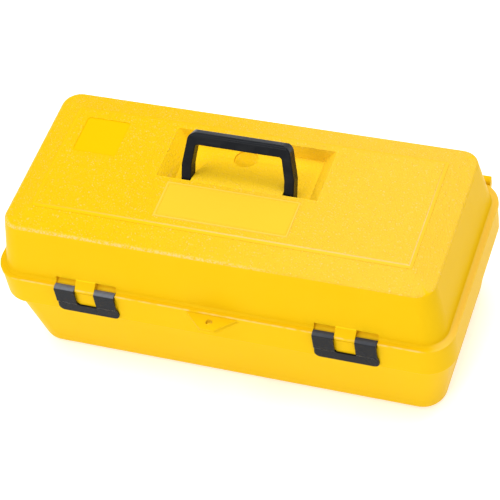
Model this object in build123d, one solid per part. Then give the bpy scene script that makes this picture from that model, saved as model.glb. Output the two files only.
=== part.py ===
from build123d import *

import math
import os

os.makedirs("parts", exist_ok=True)

# Lengths are in millimetres.  X runs along the case, the latches face -Y, Z is up, and the
# origin is under the middle of the floor.  Two moulded shells, base and lid, meet at the rim.

# ---- Driving dimensions -------------------------------------------------------------------
CASE_LENGTH = 481.6          # over the lid's lip
CASE_WIDTH = 225.2           # over the lid's lip
CASE_HEIGHT = 198.5          # from the floor to the top panel
RIM_HEIGHT = 122.3           # top edge of the base
RIM_CORNER = 29.5            # plan radius of the rim's corners
WALL = 3.0                   # wall of both shells
SEAM_GAP = 0.4               # between the base's rim and the lid's lip
LIP_OVERHANG = 0.8           # how far the lid's lip stands outside the base's rim
LEAST_CORNER = 0.8           # smallest plan radius of an outline moved in
OVERCUT = 1.0                # how far a cut runs on past the face it opens
TINY = 0.01                  # overlap that keeps two faces from coinciding

# Base
BAND_HEIGHT = 33.5           # upright band under the rim
BAND_STEP = 6.0              # how far the tub sits in from the band, which makes the tray's ledge
TUB_TAPER = 14.0             # how far each side leans in, from the band to the floor
TUB_CORNER = 25.0
FLOOR_ROUND = 12.0           # round between the tub's sides and its floor
BAND_ROUND = 2.4             # soft lower edge of the band

# Lid
LIP_THICKNESS = 4.2          # flange that rests on the base's rim
LEDGE_WIDTH = 7.0            # ledge outside the lid's walls
LID_FOOT_CORNER = 24.0       # plan radius where the walls stand on the ledge
LID_DRAFT = 10.0             # how far each wall leans in
SHOULDER_CORNER = 18.5
BEVEL_WIDTH = 29.4           # sloping border round the top panel, in plan
BEVEL_DROP = 9.5
PANEL_CORNER = 1.6
SHOULDER_ROUND = 3.2
LEDGE_ROUND = 1.4            # outer edge of the lip
LEDGE_COVE = 2.6             # hollow corner between the ledge and the walls
PANEL_RISE = 0.6             # fine step round the top panel
PANEL_EDGE = 0.45            # chamfer of that step
TONGUE_DEPTH = 3.6           # locating rib of the lid, inside the base's wall
TONGUE_WIDTH = 1.6
TONGUE_CLEARANCE = 0.6

# Label plate and sticker pad on the top panel
LABEL_LENGTH = 140.0
LABEL_WIDTH = 46.0
LABEL_RISE = 0.6
LABEL_CORNER = 1.5
LABEL_EDGE = 0.35            # chamfer of the plate's top
LABEL_TO_RECESS = 5.6        # from the label to the handle's recess
PAD_SIZE = 47.0
PAD_SINK = 0.5
PAD_CORNER = 4.0
PAD_END_GAP = 11.4           # from the panel's left end to the pad
PAD_BACK_GAP = 10.2          # from the panel's back edge to the pad

# Carrying handle and its recess
HANDLE_LEAN = 27.0           # degrees behind upright, where friction holds the handle at rest
HANDLE_REACH = 53.0          # from the pivot to the top of the grip
HANDLE_WIDTH = 118.4         # over the legs, at the pivot
HANDLE_TOP_WIDTH = 105.0     # over the legs, at the grip
HANDLE_THICKNESS = 14.0
LEG_WIDTH = 10.4
LEG_NARROWING = 2.8          # how much narrower each leg is at the grip
GRIP_DEPTH = 12.2
KINK_REACH = 18.0            # from the pivot to the bend in the legs
HANDLE_OUTER_ROUND = 9.0
HANDLE_INNER_ROUND = 3.0
HANDLE_KINK_ROUND = 12.0
HANDLE_EDGE_ROUND = 1.4
GRIP_ROUND = 3.4             # along the top of the grip
PEG_RADIUS = 3.5
PEG_PROUD = 1.0              # how far each peg's end shows inside the lid's wall
PIVOT_CLEARANCE = 0.08       # radial, for every pivot of the case
HANDLE_CLEARANCE = 0.5       # between the handle and its recess
RECESS_LENGTH = 170.6
RECESS_TO_PANEL = 6.2        # from its back edge to the panel's back edge
RECESS_END_RUN = 14.0        # slope of its end walls, in plan
RECESS_BACK_RUN = 2.8
RECESS_CORNER = 1.5
FOLDED_SLACK = 3.6           # from the folded grip to the foot of the recess's back wall
RAMP_STRAIGHT = 16.0         # length of the ramp whose sides are parallel
RAMP_TAPER = 4.0             # how much narrower each side of the ramp is at its back
RAMP_HEAD_SLOPE = 0.12       # fall per length where the ramp leaves the top panel
RAMP_FOOT_SLOPE = 0.05       # and at its back edge
RAMP_STEP = 1.2              # height of the ramp's back edge over the recess's floor
RAMP_GAP = 0.8               # from the ramp's back edge to the folded grip
SCOOP_RADIUS = 12.4          # finger scoop, cut into the ramp's back edge and the floor
SCOOP_X = -8.0
SCOOP_OFFSET = 3.8           # from the ramp's back edge to the scoop's middle
SCOOP_SINK = 1.8             # its depth below the recess's floor

# Latches
LATCH_SPACING = 274.0        # between the two latches' middles
LATCH_WIDTH = 65.0
LATCH_KNUCKLE = 21.0         # lid's knuckle between the two legs of a latch
LATCH_DROP = 32.6            # from the pivot to the finger pull's lower edge
LATCH_PLATE = 1.8
LATCH_BARREL = 3.4           # radius
LATCH_PIN_RADIUS = 1.3
LATCH_PIN_GRIP = 6.0         # length of pin held in the lip beyond each leg
LATCH_INSET = 2.2            # from the lip's face back to the pivot
LATCH_CLEARANCE = 0.4
LATCH_CORNER = 6.0
LATCH_FLARE = 1.2            # how much wider each side of the finger pull is at its foot
LATCH_BRIDGE = 11.2          # height of the plate under the window
LATCH_JOGGLE = 4.0           # height over which the plate steps in under the catch
LATCH_SLACK = 0.3            # between the shut latch and the base
WINDOW_CORNER = 2.5
CATCH_RISE = 2.0             # rib on the base that the latch hooks under
CATCH_HEIGHT = 3.4
CATCH_LAND = 0.8             # upright edge of the rib
CATCH_END_GAP = 1.0          # from each end of the rib to the side of its leg
CATCH_DROP = 16.4            # from the pivot to the rib's lower face
LATCH_NICHE_HEIGHT = 6.8     # niche in the lid's wall above each leg
LATCH_NICHE_DEPTH = 4.4
NICHE_ROOF = 1.0             # how much lower the niche is at its back
KNUCKLE_INSET = 0.4          # how much smaller the lid's knuckle is than the barrels
KNUCKLE_TOUCH = 60.0         # degrees above level where its gusset meets it

# Padlock eye
EYE_REACH = 18.0             # how far the tabs stand out from the rim
EYE_ROOT_WIDTH = 55.0
EYE_TIP_WIDTH = 15.0
EYE_TIP_ROUND = 3.5
EYE_TAB = 2.5                # thickness of each tab
EYE_RADIUS = 3.5
EYE_CENTRE = 9.2             # from the rim to the hole's middle

# Hinges
HINGE_BARREL = 5.2           # radius
HINGE_PIN_RADIUS = 2.0
HINGE_LENGTH = 60.0
HINGE_END = 15.0             # from the rim's end to the hinge's outer end
HINGE_CAP = 2.5              # closed outer end of the outer knuckle
HINGE_END_ROUND = 4.0        # plan radius of that end
HINGE_CHEEK = 12.0           # each of the base's two knuckles
HINGE_CLEARANCE = 0.5
HINGE_GUSSET = 14.5          # from the axis down to the foot of the base's knuckles
GUSSET_TOUCH = 20.0          # degrees below level where the gusset meets the barrel
HEEL_BITE = 0.7              # how far the open lid's stop would reach into the base
HEEL_THICKNESS = 2.2
HEEL_ANGLE = 221.0           # from the front, upwards and over

# Lift-out tray and its bail
TRAY_DEPTH = 52.0
TRAY_WALL = 2.2
TRAY_TOP_GAP = 4.5           # from the tray's top edge up to the rim
TRAY_FREEDOM = 3.2           # between the tray's support rib and the band's inside
TRAY_BODY_INSET = 11.0       # from the band's inside to the tray's side, clear of the turning lid
TRAY_TAPER = 4.2
TRAY_CORNER = 20.0
TRAY_FLOOR_CORNER = 18.0
TRAY_FLOOR_ROUND = 4.0
TRAY_RIB = 3.0
TRAY_SETTLE = 0.3            # lift of the rib off the ledge
PARTITION_HEIGHT = 40.0
PARTITION_THICKNESS = 2.0
LONG_PARTITION_Y = 6.0
CROSS_PARTITIONS = 3         # in the rear row
FRONT_SHARE = 1 / 3          # of the front row's length, left of its one cross partition
BAIL_REACH = 58.0
BAIL_SECTION = 7.0
BAIL_DROP = 6.0              # from the tray's top edge to the bail's pivot
BAIL_GAP = 1.0               # between the bail's legs and the tray's walls
BAIL_PEG_RADIUS = 2.5
BAIL_END_ROUND = 3.4         # round at the pivot end of each of its legs
BAIL_CORNER = 14.0

# ---- Heights and places that follow from them ---------------------------------------------
BAND_BOTTOM = RIM_HEIGHT - BAND_HEIGHT
LEDGE_HEIGHT = BAND_BOTTOM + WALL
LIP_BOTTOM = RIM_HEIGHT + SEAM_GAP
LIP_TOP = LIP_BOTTOM + LIP_THICKNESS
SHOULDER_HEIGHT = CASE_HEIGHT - BEVEL_DROP
RIM_LENGTH = CASE_LENGTH - 2 * LIP_OVERHANG
RIM_WIDTH = CASE_WIDTH - 2 * LIP_OVERHANG
FRONT = -RIM_WIDTH / 2
REAR = RIM_WIDTH / 2
LIP_FRONT = FRONT - LIP_OVERHANG
LID_WALL_FRONT = LIP_FRONT + LEDGE_WIDTH
PANEL_LENGTH = CASE_LENGTH - 2 * (LEDGE_WIDTH + LID_DRAFT + BEVEL_WIDTH)
PANEL_WIDTH = CASE_WIDTH - 2 * (LEDGE_WIDTH + LID_DRAFT + BEVEL_WIDTH)
PAD_X = -PANEL_LENGTH / 2 + PAD_END_GAP + PAD_SIZE / 2
PAD_Y = PANEL_WIDTH / 2 - PAD_BACK_GAP - PAD_SIZE / 2
RECESS_BACK = PANEL_WIDTH / 2 - RECESS_TO_PANEL

HANDLE_PIVOT_Z = CASE_HEIGHT - HANDLE_THICKNESS / 2 - HANDLE_CLEARANCE
RECESS_FLOOR = HANDLE_PIVOT_Z - HANDLE_THICKNESS / 2 - HANDLE_CLEARANCE
HANDLE_PIVOT_Y = RECESS_BACK - RECESS_BACK_RUN - FOLDED_SLACK - HANDLE_REACH
RECESS_FRONT = HANDLE_PIVOT_Y - HANDLE_THICKNESS / 2 - HANDLE_CLEARANCE
LEG_INSIDE = HANDLE_WIDTH / 2 - LEG_WIDTH
RAMP_HALF = LEG_INSIDE - HANDLE_CLEARANCE
RAMP_END = HANDLE_PIVOT_Y + HANDLE_REACH - GRIP_DEPTH - RAMP_GAP

LATCH_PIVOT_Y = LIP_FRONT + LATCH_INSET
LATCH_PIVOT_Z = LIP_BOTTOM + LIP_THICKNESS / 2
CATCH_BOTTOM = LATCH_PIVOT_Z - CATCH_DROP

HINGE_Y = REAR + LIP_OVERHANG + HINGE_CLEARANCE + HINGE_BARREL
HINGE_Z = RIM_HEIGHT + SEAM_GAP / 2
HINGE_X = RIM_LENGTH / 2 - HINGE_END - HINGE_LENGTH / 2

TRAY_TOP = RIM_HEIGHT - TRAY_TOP_GAP
TRAY_FLOOR = TRAY_TOP - TRAY_DEPTH
BAIL_Z = TRAY_TOP - BAIL_DROP


# ---- Shapes used by several pieces --------------------------------------------------------
def outline(length, width, corner, z):
    """Rounded rectangle, centred, lying at height z."""
    return Plane.XY.offset(z) * RectangleRounded(length, width, corner)


def frustum(low, high):
    """Solid with straight sides between two outlines, each (length, width, corner, z)."""
    return loft([outline(*low), outline(*high)], ruled=True)


def inset(shape, by, z):
    """The outline moved in by a distance on every side, at another height."""
    length, width, corner, _ = shape
    return (length - 2 * by, width - 2 * by, max(corner - by, LEAST_CORNER), z)


def block(x, y, z):
    """Box between two limits on each axis, each given as (low, high)."""
    size = [high - low for low, high in (x, y, z)]
    middle = [(high + low) / 2 for low, high in (x, y, z)]
    return Pos(*middle) * Box(*size)


def rod(radius, length, x, y, z):
    """Cylinder along X, centred at a point."""
    return Pos(x, y, z) * Rot(0, 90, 0) * Cylinder(radius, length)


def profile_along_x(points, x_low, x_high):
    """Closed outline of (y, z) points, carried along X from one place to another."""
    face = make_face(Polyline(*[(0, y, z) for y, z in points], close=True))
    return extrude(Pos(x_low, 0, 0) * face, x_high - x_low, dir=(1, 0, 0))


def plan_prism(points, z_low, z_high):
    """Closed outline of (x, y) points, carried up from one height to another."""
    face = make_face(Polyline(*[(x, y, z_low) for x, y in points], close=True))
    return extrude(face, z_high - z_low, dir=(0, 0, 1))


def ends_of(radius, x_ranges, y, z):
    """Cylinders along X that fill each given range."""
    return [rod(radius, high - low, (high + low) / 2, y, z) for low, high in x_ranges]


# ---- Padlock eye --------------------------------------------------------------------------
def eye_tab(z_low, z_high):
    """Trapezoid tab on the rim's front, with a rounded tip."""
    root, tip = EYE_ROOT_WIDTH / 2, EYE_TIP_WIDTH / 2
    outer = FRONT - EYE_REACH
    tab = plan_prism([(-root, FRONT + WALL), (-root, FRONT), (-tip, outer), (tip, outer),
                      (root, FRONT), (root, FRONT + WALL)], z_low, z_high)
    tips = tab.edges().filter_by(Axis.Z).sort_by(Axis.Y)[:2]
    return fillet(tips, EYE_TIP_ROUND)


def eye_hole():
    height = 4 * (EYE_TAB + SEAM_GAP)
    return Pos(0, FRONT - EYE_CENTRE, LIP_BOTTOM) * Cylinder(EYE_RADIUS, height)


# ---- Hinges -------------------------------------------------------------------------------
def hinge_ranges(side):
    """X ranges of a hinge's two outer knuckles and of the middle one between them."""
    middle = side * HINGE_X
    low, high = middle - HINGE_LENGTH / 2, middle + HINGE_LENGTH / 2
    outer = [(low, low + HINGE_CHEEK), (high - HINGE_CHEEK, high)]
    inner = (low + HINGE_CHEEK + HINGE_CLEARANCE, high - HINGE_CHEEK - HINGE_CLEARANCE)
    return outer, inner


def base_knuckles(side):
    """Two knuckles on gussets that run down the band, rounded at the hinge's outer end."""
    outer, _ = hinge_ranges(side)
    foot = HINGE_Z - HINGE_GUSSET
    touch = math.radians(GUSSET_TOUCH)
    gusset = [(REAR - WALL / 2, foot), (REAR, foot),
              (HINGE_Y + HINGE_BARREL * math.cos(touch), HINGE_Z - HINGE_BARREL * math.sin(touch)),
              (HINGE_Y, RIM_HEIGHT), (REAR - WALL / 2, RIM_HEIGHT)]
    ends = sorted(x for pair in outer for x in pair)
    room = block((ends[0], ends[-1]), (REAR - WALL, HINGE_Y + HINGE_BARREL), (0, CASE_HEIGHT))
    rear_edges = room.edges().filter_by(Axis.Z).group_by(Axis.Y)[-1].sort_by(Axis.X)
    room = fillet(rear_edges[-1] if side > 0 else rear_edges[0], HINGE_END_ROUND)
    barrels = ends_of(HINGE_BARREL, outer, HINGE_Y, HINGE_Z)
    return [(barrel + profile_along_x(gusset, *span)) & room for barrel, span in zip(barrels, outer)]


def lid_knuckle(side):
    """Middle knuckle, joined to the lip by an arm, with the heel that stops the open lid."""
    _, (low, high) = hinge_ranges(side)
    arm = block((low, high), (REAR - LIP_THICKNESS, HINGE_Y), (LIP_BOTTOM, LIP_TOP))
    reach = HINGE_Y - REAR + HEEL_BITE
    heel = Pos((low + high) / 2, HINGE_Y, HINGE_Z) * Rot(180 - HEEL_ANGLE, 0, 0) \
        * Pos(0, reach / 2, 0) * Box(high - low, reach, HEEL_THICKNESS)
    barrel = rod(HINGE_BARREL, high - low, (low + high) / 2, HINGE_Y, HINGE_Z)
    return [arm, barrel, heel]


def hinge_pin(side):
    """Wire driven in from the hinge's inner end, up to the closed end of the outer knuckle."""
    length = HINGE_LENGTH - HINGE_CAP
    return rod(HINGE_PIN_RADIUS, length, side * (HINGE_X - HINGE_CAP / 2), HINGE_Y, HINGE_Z)


# ---- Latches ------------------------------------------------------------------------------
def leg_ranges(side):
    """X ranges of the two legs of a latch."""
    middle = side * LATCH_SPACING / 2
    half, knuckle = LATCH_WIDTH / 2, LATCH_KNUCKLE / 2 + LATCH_CLEARANCE
    return [(middle - half, middle - knuckle), (middle + knuckle, middle + half)]


def latch_side_profile():
    """Upright legs in front of the catch, a joggle in under it, and the finger pull below."""
    y, z = LATCH_PIVOT_Y, LATCH_PIVOT_Z
    pull = FRONT - LATCH_SLACK               # inner faces of the pull and of the legs
    leg = pull - CATCH_RISE
    hook = CATCH_BOTTOM - LATCH_SLACK
    foot = z - LATCH_DROP
    outside = [(y, z + LATCH_BARREL), (y - LATCH_BARREL / 2, z + LATCH_BARREL),
               (leg - LATCH_PLATE, z + LATCH_BARREL / 2), (leg - LATCH_PLATE, hook),
               (pull - LATCH_PLATE, hook - LATCH_JOGGLE), (pull - LATCH_PLATE, foot)]
    inside = [(pull, foot), (pull, hook - LATCH_JOGGLE), (leg, hook), (leg, z - LATCH_BARREL),
              (y, z - LATCH_BARREL)]
    return outside + inside


def latch_front(middle):
    """Front view of a latch: legs, and below them the finger pull that widens to its foot."""
    half, top = LATCH_WIDTH / 2, LATCH_PIVOT_Z + 2 * LATCH_BARREL
    foot = LATCH_PIVOT_Z - LATCH_DROP
    right = [(half, top), (half, CATCH_BOTTOM), (half + LATCH_FLARE, foot)]
    left = [(-x, z) for x, z in reversed(right)]
    face = make_face(Polyline(*(right + left), close=True))
    face = fillet(face.vertices().group_by(Axis.Y)[0], LATCH_CORNER)
    half_window = LATCH_KNUCKLE / 2 + LATCH_CLEARANCE
    low = foot + LATCH_BRIDGE
    window = Pos(0, (low + top) / 2 + OVERCUT) * Rectangle(2 * half_window, top - low + 2 * OVERCUT)
    face -= fillet(window.vertices().group_by(Axis.Y)[0], WINDOW_CORNER)
    reach = LATCH_INSET + LIP_OVERHANG + CATCH_RISE + LATCH_SLACK + 2 * LATCH_PLATE + LATCH_BARREL
    return extrude(Pos(middle, FRONT, 0) * (Plane.XZ * face), reach, both=True)


def latch(side):
    """U-shaped snap latch: two legs with barrels, joined by the finger pull."""
    middle = side * LATCH_SPACING / 2
    half = LATCH_WIDTH / 2 + LATCH_FLARE
    solid = profile_along_x(latch_side_profile(), middle - half, middle + half) & latch_front(middle)
    for barrel in ends_of(LATCH_BARREL, leg_ranges(side), LATCH_PIVOT_Y, LATCH_PIVOT_Z):
        solid += barrel
    return solid - rod(LATCH_PIN_RADIUS + PIVOT_CLEARANCE, LATCH_WIDTH + 2 * OVERCUT, middle,
                       LATCH_PIVOT_Y, LATCH_PIVOT_Z)


def latch_pin_length():
    return LATCH_WIDTH + 2 * LATCH_PIN_GRIP


def latch_pin(side):
    return rod(LATCH_PIN_RADIUS, latch_pin_length(), side * LATCH_SPACING / 2,
               LATCH_PIVOT_Y, LATCH_PIVOT_Z)


def catch_ribs(side):
    """One rib on the band behind each leg, sloped on top so that the latch rides over it."""
    low, high = CATCH_BOTTOM, CATCH_BOTTOM + CATCH_HEIGHT
    root, tip = FRONT + WALL / 2, FRONT - CATCH_RISE
    points = [(root, low), (tip, low), (tip, low + CATCH_LAND), (FRONT, high), (root, high)]
    return [profile_along_x(points, start + CATCH_END_GAP, end - CATCH_END_GAP)
            for start, end in leg_ranges(side)]


# ---- Base ---------------------------------------------------------------------------------
def base_tub():
    rim = (RIM_LENGTH, RIM_WIDTH, RIM_CORNER, RIM_HEIGHT)
    waist = (RIM_LENGTH - 2 * BAND_STEP, RIM_WIDTH - 2 * BAND_STEP, TUB_CORNER, BAND_BOTTOM + WALL / 2)
    foot = (waist[0] - 2 * TUB_TAPER, waist[1] - 2 * TUB_TAPER, TUB_CORNER, 0)
    tub = frustum(foot, waist)
    tub = fillet(tub.edges().group_by(Axis.Z)[0], FLOOR_ROUND)
    band = extrude(outline(*rim[:3], BAND_BOTTOM), BAND_HEIGHT)
    band = fillet(band.edges().group_by(Axis.Z)[0], BAND_ROUND)
    inside_foot = (foot[0] - 2 * WALL, foot[1] - 2 * WALL, TUB_CORNER - WALL, WALL)
    hollow = frustum(inside_foot, inset(waist, WALL, LEDGE_HEIGHT + TINY))
    hollow = fillet(hollow.edges().group_by(Axis.Z)[0], FLOOR_ROUND - WALL)
    upper = extrude(outline(*inset(rim, WALL, LEDGE_HEIGHT)), BAND_HEIGHT)
    solid = tub + band - hollow - upper
    solid = solid + eye_tab(RIM_HEIGHT - EYE_TAB, RIM_HEIGHT)
    for side in (-1, 1):
        solid = solid + base_knuckles(side) + catch_ribs(side)
    return solid - base_cuts()


def base_cuts():
    """Padlock hole, hinge pin holes, and the rim's notches under the latches' barrels."""
    cuts = [eye_hole()]
    reach = LATCH_BARREL + LATCH_CLEARANCE
    for side in (-1, 1):
        middle = side * LATCH_SPACING / 2
        half = LATCH_WIDTH / 2 + LATCH_CLEARANCE
        cuts.append(block((middle - half, middle + half), (LIP_FRONT - OVERCUT, LATCH_PIVOT_Y + reach),
                          (LATCH_PIVOT_Z - reach, RIM_HEIGHT + OVERCUT)))
        cuts.append(hinge_pin(side))
    return cuts


# ---- Lid ----------------------------------------------------------------------------------
def edges_at(shape, z):
    return shape.edges().filter_by(lambda edge: abs(edge.center().Z - z) < TINY)


def lid_outside():
    """Lip, leaning walls and bevelled top, as one closed block."""
    lip = (CASE_LENGTH, CASE_WIDTH, RIM_CORNER + LIP_OVERHANG, LIP_BOTTOM)
    solid = extrude(outline(*lip), LIP_THICKNESS) + frustum(lid_foot(), lid_shoulder())
    inner_ledge = outline(*inset(lip, LEDGE_WIDTH / 2, LIP_TOP)).face()
    foot_edges = edges_at(solid, LIP_TOP).filter_by(lambda edge: inner_ledge.is_inside(edge.center()))
    solid = fillet(foot_edges, LEDGE_COVE)
    rim_edges = edges_at(solid, LIP_TOP).filter_by(lambda edge: not inner_ledge.is_inside(edge.center()))
    solid = fillet(rim_edges, LEDGE_ROUND)
    panel = (PANEL_LENGTH, PANEL_WIDTH, PANEL_CORNER, CASE_HEIGHT - PANEL_RISE)
    solid = solid + frustum(lid_shoulder(), panel)
    solid = fillet(edges_at(solid, SHOULDER_HEIGHT), SHOULDER_ROUND)
    plate = extrude(outline(*panel), PANEL_RISE)
    return solid + chamfer(plate.edges().group_by(Axis.Z)[-1], PANEL_EDGE)


def lid_foot():
    return (CASE_LENGTH - 2 * LEDGE_WIDTH, CASE_WIDTH - 2 * LEDGE_WIDTH, LID_FOOT_CORNER, LIP_TOP)


def lid_shoulder():
    length, width, _, _ = inset(lid_foot(), LID_DRAFT, 0)
    return (length, width, SHOULDER_CORNER, SHOULDER_HEIGHT)


def lid_hollow():
    """Inside of the lid, one wall in from its outside."""
    foot = inset(lid_foot(), WALL, LIP_BOTTOM - TINY)
    shoulder = inset(lid_shoulder(), WALL, SHOULDER_HEIGHT - WALL)
    panel = (PANEL_LENGTH, PANEL_WIDTH, PANEL_CORNER, CASE_HEIGHT - WALL)
    return [frustum(foot, shoulder), frustum(shoulder, panel)]


def lid_tongue():
    """Locating rib inside the base's wall, along the front and the ends."""
    gap = WALL + TONGUE_CLEARANCE
    rim = (RIM_LENGTH, RIM_WIDTH, RIM_CORNER, RIM_HEIGHT)
    low = LIP_BOTTOM - TONGUE_DEPTH
    ring = extrude(outline(*inset(rim, gap, low)), TONGUE_DEPTH) \
        - extrude(outline(*inset(rim, gap + TONGUE_WIDTH, low)), TONGUE_DEPTH)
    rear_gap = block((-RIM_LENGTH, RIM_LENGTH), (REAR - 2 * RIM_CORNER, RIM_WIDTH),
                     (low - OVERCUT, LIP_BOTTOM + OVERCUT))
    return ring - rear_gap


def recess_trough(grow, floor):
    """Handle's recess without its ramp: sloping ends and back, upright front."""
    half, run = RECESS_LENGTH / 2 + grow, RECESS_END_RUN
    front, back = RECESS_FRONT - grow, RECESS_BACK + grow
    low = Plane.XY.offset(floor) * Pos(0, (front + back - RECESS_BACK_RUN) / 2) \
        * RectangleRounded(2 * (half - run), back - RECESS_BACK_RUN - front, RECESS_CORNER)
    high = Plane.XY.offset(CASE_HEIGHT) * Pos(0, (front + back) / 2) \
        * RectangleRounded(2 * half, back - front, RECESS_CORNER)
    return loft([low, high], ruled=True)


def ramp(shrink):
    """Ramp between the handle's legs: level at both ends, steepest between, narrower at its back."""
    start, edge, end = RECESS_FRONT - 3 * WALL, RECESS_FRONT + shrink, RAMP_END
    floor = RECESS_FLOOR - 5 * WALL
    top, foot = CASE_HEIGHT - shrink, RECESS_FLOOR + RAMP_STEP - shrink
    curve = Spline((0, edge, top), (0, end, foot),
                   tangents=[(0, 1, -RAMP_HEAD_SLOPE), (0, 1, -RAMP_FOOT_SLOPE)])
    edges = [Line((0, start, floor), (0, start, top)), Line((0, start, top), (0, edge, top)),
             curve, Line((0, end, foot), (0, end, floor)), Line((0, end, floor), (0, start, floor))]
    body = extrude(Pos(-RAMP_HALF, 0, 0) * make_face(edges), 2 * RAMP_HALF, dir=(1, 0, 0))
    wide, narrow = RAMP_HALF - shrink, RAMP_HALF - shrink - RAMP_TAPER
    side = [(wide, start), (wide, RECESS_FRONT + RAMP_STRAIGHT), (narrow, end)]
    plan = plan_prism(side + [(-x, y) for x, y in reversed(side)], floor, top + OVERCUT)
    return body & plan


def recess_scoop(grow):
    """Round finger scoop that cuts into the ramp's back edge."""
    low = RECESS_FLOOR - SCOOP_SINK - grow
    return Pos(SCOOP_X, RAMP_END + SCOOP_OFFSET, (low + CASE_HEIGHT) / 2) \
        * Cylinder(SCOOP_RADIUS + grow, CASE_HEIGHT - low)


def add_recess(solid):
    """Give the top its recess: first a jacket one wall thick, then the hollow in it."""
    jacket = recess_trough(WALL, RECESS_FLOOR - WALL) - ramp(WALL)
    scoop_jacket = recess_scoop(WALL) & block((-CASE_LENGTH, CASE_LENGTH), (RECESS_FRONT, RECESS_BACK),
                                              (0, RECESS_FLOOR + RAMP_STEP))
    hollow = recess_trough(0, RECESS_FLOOR) - ramp(0)
    return solid + jacket + scoop_jacket - hollow - recess_scoop(0)


def panel_details(solid):
    """Blank label plate and sunk sticker pad."""
    label_y = RECESS_FRONT - LABEL_TO_RECESS - LABEL_WIDTH / 2
    label = Pos(0, label_y, CASE_HEIGHT + LABEL_RISE / 2) * Box(LABEL_LENGTH, LABEL_WIDTH, LABEL_RISE)
    label = fillet(label.edges().filter_by(Axis.Z), LABEL_CORNER)
    label = chamfer(label.edges().group_by(Axis.Z)[-1], LABEL_EDGE)
    pad = Plane.XY.offset(CASE_HEIGHT - PAD_SINK) * Pos(PAD_X, PAD_Y) \
        * RectangleRounded(PAD_SIZE, PAD_SIZE, PAD_CORNER)
    return solid + label - extrude(pad, 2 * PAD_SINK)


def latch_seat(side):
    """Extra lid wall behind the niches over a latch's legs, and the gusseted knuckle on its pin."""
    middle = side * LATCH_SPACING / 2
    half = LATCH_WIDTH / 2 + LATCH_CLEARANCE + WALL
    roof = LIP_TOP + LATCH_NICHE_HEIGHT
    back = LID_WALL_FRONT + LATCH_NICHE_DEPTH + WALL
    jacket = block((middle - half, middle + half), (LID_WALL_FRONT + WALL, back), (LIP_BOTTOM, roof + WALL))
    radius = LATCH_BARREL - KNUCKLE_INSET
    knuckle = rod(radius, LATCH_KNUCKLE, middle, LATCH_PIVOT_Y, LATCH_PIVOT_Z)
    root = LID_WALL_FRONT + WALL / 2
    touch = math.radians(KNUCKLE_TOUCH)
    gusset = [(LATCH_PIVOT_Y, LATCH_PIVOT_Z),
              (LATCH_PIVOT_Y - radius * math.cos(touch), LATCH_PIVOT_Z + radius * math.sin(touch)),
              (LID_WALL_FRONT, roof - NICHE_ROOF), (root, roof), (root, LATCH_PIVOT_Z)]
    gusset = profile_along_x(gusset, middle - LATCH_KNUCKLE / 2, middle + LATCH_KNUCKLE / 2)
    return [jacket, knuckle, gusset]


def latch_niche(low, high):
    """Room for one leg: a notch down through the lip, and a niche in the wall above it."""
    barrel_back = LATCH_PIVOT_Y + LATCH_BARREL + LATCH_CLEARANCE
    notch = block((low, high), (LIP_FRONT - OVERCUT, barrel_back),
                  (LIP_BOTTOM - TONGUE_DEPTH - OVERCUT, LIP_TOP + OVERCUT))
    back = LID_WALL_FRONT + LATCH_NICHE_DEPTH
    roof = LIP_TOP + LATCH_NICHE_HEIGHT
    niche = [(barrel_back, LATCH_PIVOT_Z), (LIP_FRONT, LATCH_PIVOT_Z), (LIP_FRONT, LIP_TOP),
             (LID_WALL_FRONT, roof), (back, roof - NICHE_ROOF), (back, LIP_TOP)]
    return [notch, profile_along_x(niche, low, high)]


def lid_cuts():
    """Notches and niches for the latches' legs, and the holes for pins, pegs and padlock."""
    cuts = [eye_hole()]
    for side in (-1, 1):
        for low, high in leg_ranges(side):
            cuts += latch_niche(low - LATCH_CLEARANCE, high + LATCH_CLEARANCE)
        cuts.append(latch_pin(side))
        _, (low, high) = hinge_ranges(side)
        cuts.append(rod(HINGE_PIN_RADIUS + PIVOT_CLEARANCE, high - low + 2 * OVERCUT,
                        (low + high) / 2, HINGE_Y, HINGE_Z))
        cuts.append(rod(PEG_RADIUS + PIVOT_CLEARANCE, 3 * WALL, side * (RAMP_HALF - WALL / 2),
                        HANDLE_PIVOT_Y, HANDLE_PIVOT_Z))
    return cuts


def lid_shell():
    solid = lid_outside() - lid_hollow()
    solid = add_recess(solid)
    solid = panel_details(solid)
    solid = solid + lid_tongue() + eye_tab(LIP_BOTTOM, LIP_BOTTOM + EYE_TAB)
    for side in (-1, 1):
        solid = solid + latch_seat(side) + lid_knuckle(side)
    return solid - lid_cuts()


# ---- Carrying handle ----------------------------------------------------------------------
def handle_outline():
    """Front view of the bail, with the pivot at height 0."""
    wide, narrow = HANDLE_WIDTH / 2, HANDLE_TOP_WIDTH / 2
    inside, inside_top = LEG_INSIDE, narrow - LEG_WIDTH + LEG_NARROWING
    foot, under = -HANDLE_THICKNESS / 2, HANDLE_REACH - GRIP_DEPTH
    right = [(inside, foot), (wide, foot), (wide, KINK_REACH), (narrow, HANDLE_REACH)]
    left = [(-x, s) for x, s in reversed(right)]
    opening = [(-inside, KINK_REACH), (-inside_top, under), (inside_top, under), (inside, KINK_REACH)]
    face = make_face(Polyline(*(right + left + opening), close=True))
    tops = face.vertices().filter_by(lambda v: abs(v.Y - HANDLE_REACH) < TINY)
    face = fillet(tops, HANDLE_OUTER_ROUND)
    unders = face.vertices().filter_by(lambda v: abs(v.Y - under) < TINY)
    face = fillet(unders, HANDLE_INNER_ROUND)
    kinks = face.vertices().filter_by(lambda v: abs(v.Y - KINK_REACH) < TINY)
    return fillet(kinks, HANDLE_KINK_ROUND)


def handle_section():
    """Side view of the bail: round at the pivot, softly squared at the grip."""
    half = HANDLE_THICKNESS / 2
    body = Pos(0, HANDLE_REACH / 2) * Rectangle(2 * half, HANDLE_REACH)
    body = fillet(body.vertices().group_by(Axis.Y)[-1], GRIP_ROUND)
    return body + Circle(half)


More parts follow.
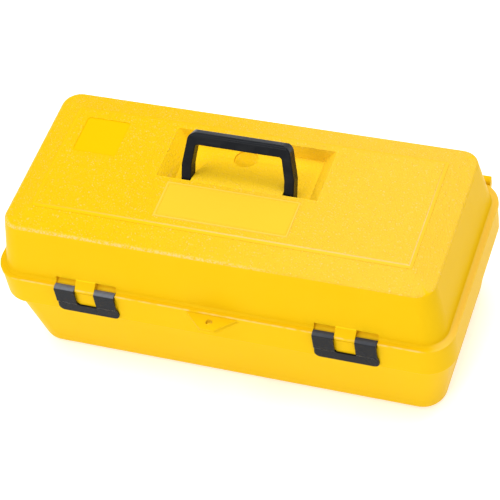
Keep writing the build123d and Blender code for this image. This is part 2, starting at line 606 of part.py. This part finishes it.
def carry_handle():
    bail = extrude(Plane.XZ * handle_outline(), HANDLE_THICKNESS / 2, both=True)
    faces = bail.edges().group_by(Axis.Y)
    bail = fillet(faces[0] + faces[-1], HANDLE_EDGE_ROUND)
    bail &= extrude(Plane.YZ * handle_section(), HANDLE_WIDTH, both=True)
    inner, outer = RAMP_HALF - WALL - PEG_PROUD, LEG_INSIDE + LEG_WIDTH / 4
    for end in (-1, 1):
        bail += rod(PEG_RADIUS, outer - inner, end * (outer + inner) / 2, 0, 0)
    return Pos(0, HANDLE_PIVOT_Y, HANDLE_PIVOT_Z) * Rot(-HANDLE_LEAN, 0, 0) * bail


# ---- Lift-out tray ------------------------------------------------------------------------
def tray_outlines():
    """Outlines of the tray at its top edge and at its floor."""
    shrink = WALL + TRAY_BODY_INSET
    top = (RIM_LENGTH - 2 * shrink, RIM_WIDTH - 2 * shrink, TRAY_CORNER, TRAY_TOP)
    floor = (top[0] - 2 * TRAY_TAPER, top[1] - 2 * TRAY_TAPER, TRAY_FLOOR_CORNER, TRAY_FLOOR)
    return top, floor


def tray_partitions():
    """One long partition, cross partitions behind it, and one in front of it."""
    _, floor = tray_outlines()
    low, high = TRAY_FLOOR + TRAY_WALL / 2, TRAY_FLOOR + PARTITION_HEIGHT
    half = PARTITION_THICKNESS / 2
    pieces = [block((-floor[0] / 2, floor[0] / 2), (LONG_PARTITION_Y - half, LONG_PARTITION_Y + half),
                    (low, high))]
    for i in range(CROSS_PARTITIONS):
        x = floor[0] * ((i + 1) / (CROSS_PARTITIONS + 1) - 0.5)
        pieces.append(block((x - half, x + half), (LONG_PARTITION_Y, floor[1] / 2), (low, high)))
    x = floor[0] * (FRONT_SHARE - 0.5)
    pieces.append(block((x - half, x + half), (-floor[1] / 2, LONG_PARTITION_Y), (low, high)))
    return pieces


def lift_out_tray():
    top, floor = tray_outlines()
    body = fillet(frustum(floor, top).edges().group_by(Axis.Z)[0], TRAY_FLOOR_ROUND)
    inside_top = inset(top, TRAY_WALL, TRAY_TOP + TINY)
    inside_floor = inset(floor, TRAY_WALL, TRAY_FLOOR + TRAY_WALL)
    hollow = frustum(inside_floor, inside_top)
    hollow = fillet(hollow.edges().group_by(Axis.Z)[0], TRAY_FLOOR_ROUND - TRAY_WALL)
    rim = (RIM_LENGTH, RIM_WIDTH, RIM_CORNER, RIM_HEIGHT)
    rib = extrude(outline(*inset(rim, WALL + TRAY_FREEDOM, LEDGE_HEIGHT + TRAY_SETTLE)), TRAY_RIB)
    solid = body + rib
    for piece in tray_partitions():
        solid = solid + (piece & body)
    solid = solid - (hollow - tray_partitions())
    return solid - tray_bail_holes()


def bail_half_width():
    """Half of the bail's width over its legs, at the pivot."""
    (_, top_width, _, _), _ = tray_outlines()
    drop = BAIL_DROP + BAIL_SECTION
    lean = TRAY_TAPER * drop / TRAY_DEPTH
    return top_width / 2 - TRAY_WALL - lean - BAIL_GAP


def tray_bail_holes():
    hole = Rot(90, 0, 0) * Cylinder(BAIL_PEG_RADIUS + PIVOT_CLEARANCE, CASE_WIDTH)
    return Pos(0, 0, BAIL_Z) * hole


def tray_bail():
    """Moulded bail that lies in the tray's top, to the right of its pivot."""
    half, s = bail_half_width(), BAIL_SECTION
    outer = Pos((BAIL_REACH - s / 2) / 2, 0) * Rectangle(BAIL_REACH + s / 2, 2 * half)
    outer = fillet(outer.vertices().group_by(Axis.X)[-1], BAIL_CORNER)
    inner = Pos((BAIL_REACH - s) / 2 - s, 0) * Rectangle(BAIL_REACH + s, 2 * (half - s))
    inner = fillet(inner.vertices().group_by(Axis.X)[-1], BAIL_CORNER - s)
    bail = extrude(Plane.XY.offset(-s / 2) * (outer - inner), s)
    ends = bail.edges().filter_by(Axis.Y).group_by(Axis.X)[0]
    bail = fillet(ends, min(BAIL_END_ROUND, s / 2 - TINY))
    for side in (-1, 1):
        length = s / 2 + BAIL_GAP + TRAY_WALL
        bail += Pos(0, side * (half - s / 2 + length / 2), 0) * Rot(90, 0, 0) \
            * Cylinder(BAIL_PEG_RADIUS, length)
    return Pos(0, 0, BAIL_Z) * bail


# ---- Write every piece --------------------------------------------------------------------
pieces = {
    "base_tub": base_tub(),
    "lid_shell": lid_shell(),
    "carry_handle": carry_handle(),
    "latch_left": latch(-1),
    "latch_right": latch(1),
    "latch_pin_left": latch_pin(-1),
    "latch_pin_right": latch_pin(1),
    "hinge_pin_left": hinge_pin(-1),
    "hinge_pin_right": hinge_pin(1),
    "lift_out_tray": lift_out_tray(),
    "tray_bail": tray_bail(),
}

for name, piece in pieces.items():
    piece.label = name
    export_step(piece, f"parts/{name}.step")
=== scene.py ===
import math

import bpy
import numpy as np
from mathutils import Matrix, Vector


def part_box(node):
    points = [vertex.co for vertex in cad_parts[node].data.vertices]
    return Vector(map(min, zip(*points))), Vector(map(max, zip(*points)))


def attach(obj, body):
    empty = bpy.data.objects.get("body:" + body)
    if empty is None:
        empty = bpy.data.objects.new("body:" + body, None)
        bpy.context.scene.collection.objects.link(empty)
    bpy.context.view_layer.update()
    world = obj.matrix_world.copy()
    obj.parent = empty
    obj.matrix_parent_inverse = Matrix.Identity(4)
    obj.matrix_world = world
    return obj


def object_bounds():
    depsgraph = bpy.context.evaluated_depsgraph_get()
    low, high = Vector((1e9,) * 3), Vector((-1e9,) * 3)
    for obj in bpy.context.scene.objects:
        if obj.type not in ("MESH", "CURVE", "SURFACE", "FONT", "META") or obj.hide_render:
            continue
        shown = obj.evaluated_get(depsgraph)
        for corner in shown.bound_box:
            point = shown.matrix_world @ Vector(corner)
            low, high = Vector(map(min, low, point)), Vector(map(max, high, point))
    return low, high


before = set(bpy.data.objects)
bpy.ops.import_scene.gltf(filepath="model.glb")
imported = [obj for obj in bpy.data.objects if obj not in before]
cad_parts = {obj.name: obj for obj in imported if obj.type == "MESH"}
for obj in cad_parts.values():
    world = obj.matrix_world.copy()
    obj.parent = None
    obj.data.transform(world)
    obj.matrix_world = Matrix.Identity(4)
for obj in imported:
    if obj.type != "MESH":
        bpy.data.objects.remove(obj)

cad_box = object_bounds()


# ---- Base ---------------------------------------------------------------------------------
# The lower yellow moulding, satin polypropylene: a tub with an upright band under its rim.  It is
# dulled along the bottom edge, where it is pushed about on benches and floors.
MM = 0.001
CASE_YELLOW = (0.720, 0.440, 0.0040, 1.0)
DEEP_YELLOW = (0.710, 0.425, 0.0002, 1.0)


class Wire:
    """A socket in a material.  + - * on wires and numbers add the Math nodes they stand for."""

    def __init__(self, tree, socket=None):
        self.tree, self.socket = tree, socket

    def node(self, kind, settings, sockets, output=0):
        """One node: its settings first, then a value or a wire for each of its sockets."""
        made = self.tree.nodes.new(kind)
        for name, value in settings.items():
            setattr(made, name, value)
        for name, value in sockets.items():
            if isinstance(value, Wire):
                self.tree.links.new(value.socket, made.inputs[name])
            else:
                made.inputs[name].default_value = value
        return Wire(self.tree, made.outputs[output])

    def maths(self, operation, *values):
        return self.node("ShaderNodeMath", {"operation": operation}, dict(enumerate(values)))

    def __add__(self, other):
        return self.maths("ADD", self, other)

    def __sub__(self, other):
        return self.maths("SUBTRACT", self, other)

    def __rsub__(self, other):
        return self.maths("SUBTRACT", other, self)

    def __mul__(self, other):
        return self.maths("MULTIPLY", self, other)

    def __abs__(self):
        return self.maths("ABSOLUTE", self)

    __radd__, __rmul__ = __add__, __mul__

    def most(self, other):
        return self.maths("MAXIMUM", self, other)

    def least(self, other):
        return self.maths("MINIMUM", self, other)

    def length(self, other):
        """Distance from the origin of the point whose two coordinates are this wire and another."""
        return self.maths("POWER", self * self + other * other, 0.5)

    def rise(self, low, high):
        """0 below low, 1 above high, and a smooth step between them."""
        return self.node("ShaderNodeMapRange", {"interpolation_type": "SMOOTHSTEP"},
                         {"Value": self, "From Min": low, "From Max": high})

    def stretched(self, x, y, z):
        """The place vector with each axis scaled by itself."""
        return self.node("ShaderNodeVectorMath", {"operation": "MULTIPLY"}, {0: self, 1: (x, y, z)})

    def noise(self, scale, detail=2.0, distortion=0.0):
        """Cloudy pattern between 0 and 1, with so many lumps to the millimetre."""
        return self.node("ShaderNodeTexNoise", {},
                         {"Vector": self, "Scale": scale, "Detail": detail, "Distortion": distortion})

    def cell_edges(self, scale):
        """Distance to the nearest border in a random packing of cells, so many to the millimetre."""
        return self.node("ShaderNodeTexVoronoi", {"feature": "DISTANCE_TO_EDGE"},
                         {"Vector": self, "Scale": scale})

    def blend(self, first, second):
        """One colour where this wire is 0, the other where it is 1."""
        return self.node("ShaderNodeMix", {"data_type": "RGBA"}, {0: self, 6: first, 7: second}, output=2)


class Finish:
    """A material under way: its place in millimetres on the piece itself, so that patterns ride
    with the piece, and the shader that it ends in."""

    def __init__(self, name, **constants):
        self.material = bpy.data.materials.new(name)
        self.material.use_nodes = True
        tree = self.material.node_tree
        self.shader = tree.nodes["Principled BSDF"]
        for socket, value in constants.items():
            self.shader.inputs[socket.replace("_", " ")].default_value = value
        start = Wire(tree)
        place = start.node("ShaderNodeTexCoord", {}, {}, output="Object")
        self.place = place.stretched(1 / MM, 1 / MM, 1 / MM)
        self.x, self.y, self.z = (self.place.node("ShaderNodeSeparateXYZ", {}, {0: self.place}, output=axis)
                                  for axis in "XYZ")

    def set(self, socket, wire):
        wire.tree.links.new(wire.socket, self.shader.inputs[socket])

    def emboss(self, height, depth):
        """Stand the surface up by the height pattern, to a depth in millimetres."""
        bump = height.node("ShaderNodeBump", {}, {"Height": height, "Distance": depth * MM, "Strength": 1.0})
        self.set("Normal", bump)

    def inside(self, centre, half, soft):
        """1 within a rectangle seen from above, falling to 0 over a soft edge outside it."""
        across = abs(self.x - centre[0]) - half[0]
        along = abs(self.y - centre[1]) - half[1]
        return 1 - across.most(along).rise(0.0, soft)

    def paint(self, *nodes):
        for name in nodes:
            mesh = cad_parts[name].data
            mesh.materials.clear()
            mesh.materials.append(self.material)


def yellow_plastic(name):
    """Satin yellow plastic: faint cloudy colour, fine flow lines, and scuffs that dull its gloss."""
    finish = Finish(name, Specular_IOR_Level=0.02)
    finish.cloud = finish.place.noise(0.018, 3.0)
    finish.speck = finish.place.noise(1.7, 3.0)
    scratches = finish.place.stretched(0.02, 0.6, 0.6).noise(1.0, 5.0).rise(0.60, 0.74)
    rubs = finish.place.noise(0.045, 4.0).rise(0.52, 0.72)
    finish.scuff = scratches * rubs
    finish.colour = (finish.cloud.rise(0.3, 0.7) * 0.35).blend(CASE_YELLOW, DEEP_YELLOW)
    finish.dullness = 0.26 + 0.10 * finish.speck + 0.20 * finish.scuff + 0.06 * finish.cloud
    return finish


base = yellow_plastic("satin_yellow_plastic")
low_down = 1 - base.z.rise(2.0, 16.0)
rubbed = low_down * base.place.noise(0.12, 5.0).rise(0.45, 0.62)
base.set("Base Color", (rubbed * 0.35).blend(base.colour, DEEP_YELLOW))
base.set("Roughness", base.dullness + 0.25 * rubbed)
base.emboss(0.6 * base.speck + 0.5 * base.scuff, 0.035)
base.paint("base_tub")


# ---- Lift-out tray ------------------------------------------------------------------------
# A loose black polypropylene moulding with a fine spark grain, which rests on a ledge in the base.
# Tools dragged about in it have left pale marks and dust on its floors.
SOFT_BLACK = (0.0068, 0.0078, 0.0100, 1.0)
RUBBED_BLACK = (0.0180, 0.0195, 0.0230, 1.0)
DUSTY_BLACK = (0.0750, 0.0720, 0.0640, 1.0)
TRAY_FLOOR_THICKNESS = 2.2


def black_plastic(name, roughness, peel, depth, wear=1.0):
    """Black moulded plastic: orange peel of a given size, dust-pale scuffs, uneven gloss."""
    finish = Finish(name, Specular_IOR_Level=0.09)
    peel_pattern = finish.place.noise(peel, 2.5)
    streaks = finish.place.stretched(0.05, 0.7, 0.7).noise(1.0, 5.0).rise(0.58, 0.76)
    patches = finish.place.noise(0.06, 4.0).rise(0.42, 0.66)
    scuff = streaks * patches
    finish.colour = (wear * (0.75 * scuff + 0.15 * patches)).blend(SOFT_BLACK, RUBBED_BLACK)
    finish.set("Base Color", finish.colour)
    finish.dullness = roughness + 0.12 * patches + 0.18 * scuff
    finish.set("Roughness", finish.dullness)
    finish.emboss(peel_pattern + 0.4 * scuff, depth)
    return finish


tray = black_plastic("tray_black_polypropylene", 0.48, 2.2, 0.06)
tray_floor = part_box("lift_out_tray")[0].z / MM + TRAY_FLOOR_THICKNESS
on_floor = 1 - abs(tray.z - tray_floor).rise(0.6, 3.0)
dragged = tray.place.stretched(0.10, 0.45, 0.3).noise(1.0, 6.0, 2.5).rise(0.52, 0.75)
dust = on_floor * (0.30 * tray.place.noise(0.04, 5.0).rise(0.35, 0.7) + 0.40 * dragged)
tray.set("Base Color", (dust * 0.6).blend(tray.colour, DUSTY_BLACK))
tray.set("Roughness", tray.dullness + 0.25 * dust)
tray.paint("lift_out_tray")


# ---- Tray's bail --------------------------------------------------------------------------
# The same black plastic, snapped into the tray's ends by its pegs, and polished by the hand that
# lifts the tray.
bail = black_plastic("bail_black_polypropylene", 0.34, 1.4, 0.04)
bail.paint("tray_bail")


# ---- Lid ----------------------------------------------------------------------------------
# The upper yellow moulding, on two hinges.  Leather grain etched into the mould covers its top and
# bevel, but for a smooth margin, the pad and the label plate.  Its walls are plain satin.  Painted
# highlights make its edges and the peaks of its grain pale, painted light brightens its recess and
# latch niches, and painted shade darkens its finger scoop.
PALE_YELLOW = (0.785, 0.530, 0.2000, 1.0)
PAINTED_LIGHT_YELLOW = (0.880, 0.560, 0.0080, 1.0)
LABEL_RISE = 0.6
PANEL_RISE = 0.6
PANEL_END_INSET = 46.4
PANEL_HALF_WIDTH = 66.2
BEVEL_DROP, BEVEL_RUN = 8.9, 29.4
SHOULDER_DROP = 9.5
SHOULDER_CORNER, PANEL_CORNER = 18.5, 1.6
MARGIN = 3.4
PAD_CENTRE, PAD_HALF = (-159.5, 32.5), (23.5, 23.5)
LABEL_CENTRE, LABEL_HALF, LABEL_CORE = (0.0, -35.5), (70.0, 23.0), (68.2, 21.2)
LABEL_BORDER_INSET, LABEL_BORDER_CORNER = 2.6, 2.0
RECESS_CENTRE, RECESS_HALF = (0.0, 26.5), (85.3, 33.5)
SCOOP_CENTRE, SCOOP_RADIUS = (-8.0, 44.4), 12.0
LATCH_X, NICHE_HALF, NICHE_TOP = 137.0, 32.9, 133.7
WALL_FRONT, NICHE_BACK = -105.6, -101.0
LIP_FRONT, LIP_TOP = -112.6, 126.9
LEATHER_MEAN = 1.15           # keeps the grain level with the plain surfaces beside it

lid_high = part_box("lid_shell")[1]
panel_top = lid_high.z / MM - LABEL_RISE
panel_half = (lid_high.x / MM - PANEL_END_INSET, PANEL_HALF_WIDTH)
bevel_slope = BEVEL_DROP / BEVEL_RUN

# Where each part of the lid lies
lid = yellow_plastic("grained_yellow_plastic")
from_panel = (abs(lid.x) - panel_half[0]).most(abs(lid.y) - panel_half[1])
bevel_z = panel_top - PANEL_RISE - from_panel.most(0.0) * bevel_slope
on_skin = (lid.z - bevel_z).rise(-1.6, -0.9)
on_margin = from_panel.rise(-0.2, 0.1) * (1 - from_panel.rise(MARGIN - 0.3, MARGIN + 0.5))
on_pad = lid.inside(PAD_CENTRE, PAD_HALF, 0.5)
on_label = lid.inside(LABEL_CENTRE, LABEL_HALF, 0.5)
in_recess = lid.inside(RECESS_CENTRE, RECESS_HALF, 1.0) * lid.z.rise(178.0, 182.0)
from_scoop = abs(lid.x - SCOOP_CENTRE[0]).length(lid.y - SCOOP_CENTRE[1])
in_scoop = (1 - from_scoop.rise(SCOOP_RADIUS - 3.0, SCOOP_RADIUS + 1.0)) * (1 - lid.z.rise(183.2, 184.0))
across_niche = abs(abs(lid.x) - LATCH_X)
in_niche = 1 - across_niche.rise(NICHE_HALF, NICHE_HALF + 0.6)
in_niche = in_niche * (1 - lid.z.rise(NICHE_TOP, NICHE_TOP + 0.4))
in_niche = in_niche * lid.y.rise(WALL_FRONT + 0.1, WALL_FRONT + 0.6) \
    * (1 - lid.y.rise(NICHE_BACK, NICHE_BACK + 0.4))

# Leather grain
grained = (on_skin * (1 - on_margin) * (1 - on_pad.most(on_label))).most(in_recess * 0.55)
creases = lid.place.cell_edges(0.36).least(0.22) * 3.4
pebbles = lid.place.noise(0.36, 3.5, 0.6)
leather = 0.50 * creases + 1.6 * pebbles
# The grain's raised points, which are painted pale below as highlight glints
peaks = leather.rise(LEATHER_MEAN - 0.05, 1.75) * grained

# Painted highlights along the panel step, the front shoulder, the lip edge and the right-hand ledge
step_edge = from_panel.rise(-0.7, -0.3) * (1 - from_panel.rise(0.3, 0.9))
step_edge = step_edge * on_skin * (lid.x * 0.003 - lid.y * 0.008).rise(-0.2, 0.7)
shoulder = 1 - abs(lid.z - (panel_top - SHOULDER_DROP) + 0.5).rise(0.5, 1.6)
bright_side = (0.0 - lid.x * 0.004 - lid.y * 0.006).rise(0.1, 0.6)
shoulder = shoulder * bright_side * lid.place.noise(0.5, 3.0).rise(0.35, 0.6)
# Painted sheen over the grain and the margin, growing stronger towards the right
sheen = grained.most(on_skin * on_margin * 0.8) * 0.16 * lid.x.rise(-140.0, 200.0)
lip_edge = 1 - abs(lid.z - LIP_TOP + 0.4).rise(0.2, 1.0)
lip_edge = lip_edge * (1 - lid.y.rise(LIP_FRONT + 0.8, LIP_FRONT + 1.8))
lip_edge = lip_edge * lid.place.noise(0.08, 2.0).rise(0.35, 0.6)
end_ledge = (1 - abs(lid.z - LIP_TOP).rise(0.5, 1.6)) * lid.x.rise(218.0, 232.0)
label_rim = lid.inside(LABEL_CENTRE, LABEL_HALF, 0.6) * (1 - lid.inside(LABEL_CENTRE, LABEL_CORE, 0.6))
plate = 0.11 * on_label + 0.18 * label_rim
# Painted highlights on the edges, strongest on the front and right, where the light falls
painted_edge_highlights = (step_edge * 0.75).most(shoulder * 0.75).most(lip_edge * 0.6).most(end_ledge * 0.25)
# Painted highlights on the grain's peaks, painted sheen and painted edge highlights, with the label plate's
# own paler colour
pale = (peaks * 0.60 + sheen).most(painted_edge_highlights).most(plate * on_skin)

# The pad is moulded a deeper yellow; the finger scoop gets the same deeper yellow as painted shade
pad_tone_and_scoop_shade = (on_pad * on_skin).most(in_scoop * lid.z.rise(180.2, 181.2))
# Painted light brightens the recess and the latch niches, which would otherwise lie in shade
painted_recess_light = (in_recess * 0.6).most(in_niche)
tone_with_painted_light_and_shade = pad_tone_and_scoop_shade.blend(painted_recess_light.blend(lid.colour, PAINTED_LIGHT_YELLOW), DEEP_YELLOW)
lid.set("Base Color", pale.blend(tone_with_painted_light_and_shade, PALE_YELLOW))
lid.set("Roughness", lid.dullness + 0.10 * grained - 0.12 * peaks)
lid.emboss((leather - LEATHER_MEAN) * grained + 0.03 * lid.speck, 0.68)
lid.paint("lid_shell")


def rounded_rectangle(half_x, half_y, corner, steps):
    """Closed path: four quarter circles of the corner radius, joined by straight sides.  Returns
    each point and the unit normal pointing out of the path there."""
    angles = np.concatenate([np.linspace(q, q + 1, steps) for q in range(4)]) * math.pi / 2
    normals = np.stack([np.cos(angles), np.sin(angles)], axis=1)
    signs = np.array([(1, 1), (-1, 1), (-1, -1), (1, -1)])[np.repeat(np.arange(4), steps)]
    return signs * np.array([half_x - corner, half_y - corner]) + corner * normals, normals


def ring_mesh(name, grid):
    """Mesh of a grid of points that closes on itself both ways: each cell is one face, turned so
    that the faces look outwards."""
    rows, columns = grid.shape[:2]
    index = np.arange(rows * columns).reshape(rows, columns)
    down, across = np.roll(index, -1, axis=0), np.roll(index, -1, axis=1)
    corner = np.roll(down, -1, axis=1)
    faces = np.stack([index, down, corner, across], axis=-1).reshape(-1, 4)
    mesh = bpy.data.meshes.new(name)
    mesh.from_pydata((grid.reshape(-1, 3) * MM).tolist(), [], faces.tolist())
    mesh.polygons.foreach_set("use_smooth", np.ones(len(faces), bool))
    piece = bpy.data.objects.new(name, mesh)
    bpy.context.scene.collection.objects.link(piece)
    return piece


def bead(name, centre, half, corner, base_z, width, height, steps=9, sides=12):
    """Raised bead: a low half-ellipse, width by height, carried round a rounded rectangle.  Its
    closed section runs a little below the surface that it stands on."""
    path, normals = rounded_rectangle(half[0], half[1], corner, steps)
    around = np.linspace(0, 2 * math.pi, sides, endpoint=False)
    out, up = np.cos(around) * width / 2, np.maximum(np.sin(around) * height, -0.1)
    plan = path[:, None, :] + normals[:, None, :] * out[None, :, None] + np.array(centre)
    heights = np.broadcast_to(base_z + up, plan.shape[:2])
    piece = ring_mesh(name, np.concatenate([plan, heights[..., None]], axis=-1))
    piece.data.materials.append(lid.material)
    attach(piece, "lid")


bead_corner = PANEL_CORNER + (SHOULDER_CORNER - PANEL_CORNER) * MARGIN * bevel_slope / BEVEL_DROP
bead("panel_bead", (0.0, 0.0), (panel_half[0] + MARGIN, panel_half[1] + MARGIN), bead_corner,
     panel_top - PANEL_RISE - MARGIN * bevel_slope, 0.9, 0.28)
bead("label_border", LABEL_CENTRE, (LABEL_HALF[0] - LABEL_BORDER_INSET, LABEL_HALF[1] - LABEL_BORDER_INSET),
     LABEL_BORDER_CORNER, panel_top + LABEL_RISE, 1.0, 0.30)


# ---- Hinge and latch pins -----------------------------------------------------------------
# Four lengths of drawn steel wire, zinc plated, with the drawing marks along them.  Two are held
# in the base's knuckles and carry the lid, and two are held in the lid's lip for the latches.
pin = Finish("zinc_plated_wire", Metallic=1.0)
drawn = pin.place.stretched(0.08, 4.0, 4.0).noise(1.0, 4.0)
tarnish = pin.place.noise(0.25, 3.0).rise(0.45, 0.75)
pin.set("Base Color", tarnish.blend((0.64, 0.65, 0.66, 1.0), (0.42, 0.41, 0.38, 1.0)))
pin.set("Roughness", 0.24 + 0.16 * drawn + 0.18 * tarnish)
pin.emboss(drawn, 0.02)
pin.paint("latch_pin_left", "latch_pin_right", "hinge_pin_left", "hinge_pin_right")


# ---- Carrying handle ----------------------------------------------------------------------
# A black nylon moulding, sprung into the lid by its pegs.  Its skin is satin with a faint orange
# peel, scuffed by use.
handle = black_plastic("handle_black_nylon", 0.27, 0.9, 0.05)
handle.paint("carry_handle")


# ---- Latches ------------------------------------------------------------------------------
# Two black acetal mouldings, harder and glossier than the handle, each turning on a wire pin.
# A painted blue-grey highlight lies along the tops of their barrels, stronger on the left one.
BLUE_GREY = (0.130, 0.143, 0.175, 1.0)
latch = black_plastic("latch_black_acetal", 0.20, 1.4, 0.02, wear=0.4)
brighter_on_left = 1.0 - 0.7 * latch.x.rise(-LATCH_X, LATCH_X)
# Painted highlight: blue-grey along the barrel tops, stronger on the left latch
painted_barrel_highlight = latch.z.rise(126.6, 127.1) * brighter_on_left * (0.6 + 0.6 * latch.place.noise(0.25, 3.0))
latch.set("Base Color", painted_barrel_highlight.blend(latch.colour, BLUE_GREY))
latch.paint("latch_left", "latch_right")


# ---- Floor --------------------------------------------------------------------------------
# A white light table, level with the underside of the base and far larger than the view.  It
# glows a little, which lifts the shadow round the box and fills in the walls from below.
FLOOR_HALF = 8.0
floor_mesh = bpy.data.meshes.new("floor")
floor_mesh.from_pydata([(x * FLOOR_HALF, y * FLOOR_HALF, cad_box[0][2])
                        for x, y in ((-1, -1), (1, -1), (1, 1), (-1, 1))], [], [(0, 1, 2, 3)])
floor = bpy.data.objects.new("floor", floor_mesh)
bpy.context.scene.collection.objects.link(floor)
glowing_white = Finish("glowing_white", Base_Color=(0.95, 0.95, 0.95, 1.0), Roughness=1.0,
                       Specular_IOR_Level=0.0, Emission_Color=(1.0, 1.0, 1.0, 1.0), Emission_Strength=0.3)
floor_mesh.materials.append(glowing_white.material)


# ---- Studio -------------------------------------------------------------------------------
# An even white sky, a large soft light overhead and a little behind, a smaller one high on the
# left, and a low one in front.  The camera looks down on the front right corner from a distance,
# and is turned a little about its own axis.
AIM = Vector((0.0006, -0.0040, 0.100))
AZIMUTH, ELEVATION, ROLL = (math.radians(angle) for angle in (26.99, 48.89, 11.34))
DISTANCE = 2.064
LENS, SENSOR = 144.7, 36.0

scene = bpy.context.scene
scene.view_settings.view_transform = "Standard"

sky = bpy.data.worlds.new("white_sky")
sky.use_nodes = True
sky.node_tree.nodes["Background"].inputs["Color"].default_value = (1.0, 1.0, 1.0, 1.0)
sky.node_tree.nodes["Background"].inputs["Strength"].default_value = 0.75
scene.world = sky


def softbox(name, place, width, height, power):
    """Flat light of a given size, facing the middle of the box."""
    lamp = bpy.data.lights.new(name, "AREA")
    lamp.shape, lamp.size, lamp.size_y = "RECTANGLE", width, height
    lamp.energy = power
    light = bpy.data.objects.new(name, lamp)
    light.location = place
    light.rotation_euler = (Vector(place) - AIM).to_track_quat("Z", "Y").to_euler()
    scene.collection.objects.link(light)


softbox("overhead_softbox", (0.30, 0.45, 2.1), 1.5, 1.5, 27)
softbox("left_softbox", (-0.75, -0.45, 2.1), 0.7, 0.7, 9)
softbox("front_softbox", (-0.5, -2.2, 1.2), 1.1, 0.5, 17)

camera = bpy.data.objects.new("camera", bpy.data.cameras.new("camera"))
camera.data.lens, camera.data.sensor_width = LENS, SENSOR
scene.collection.objects.link(camera)
toward_camera = Vector((math.sin(AZIMUTH) * math.cos(ELEVATION),
                        -math.cos(AZIMUTH) * math.cos(ELEVATION), math.sin(ELEVATION)))
turn = toward_camera.to_track_quat("Z", "Y").to_matrix() @ Matrix.Rotation(-ROLL, 3, "Z")
camera.matrix_world = Matrix.Translation(AIM + DISTANCE * toward_camera) @ turn.to_4x4()
scene.camera = camera
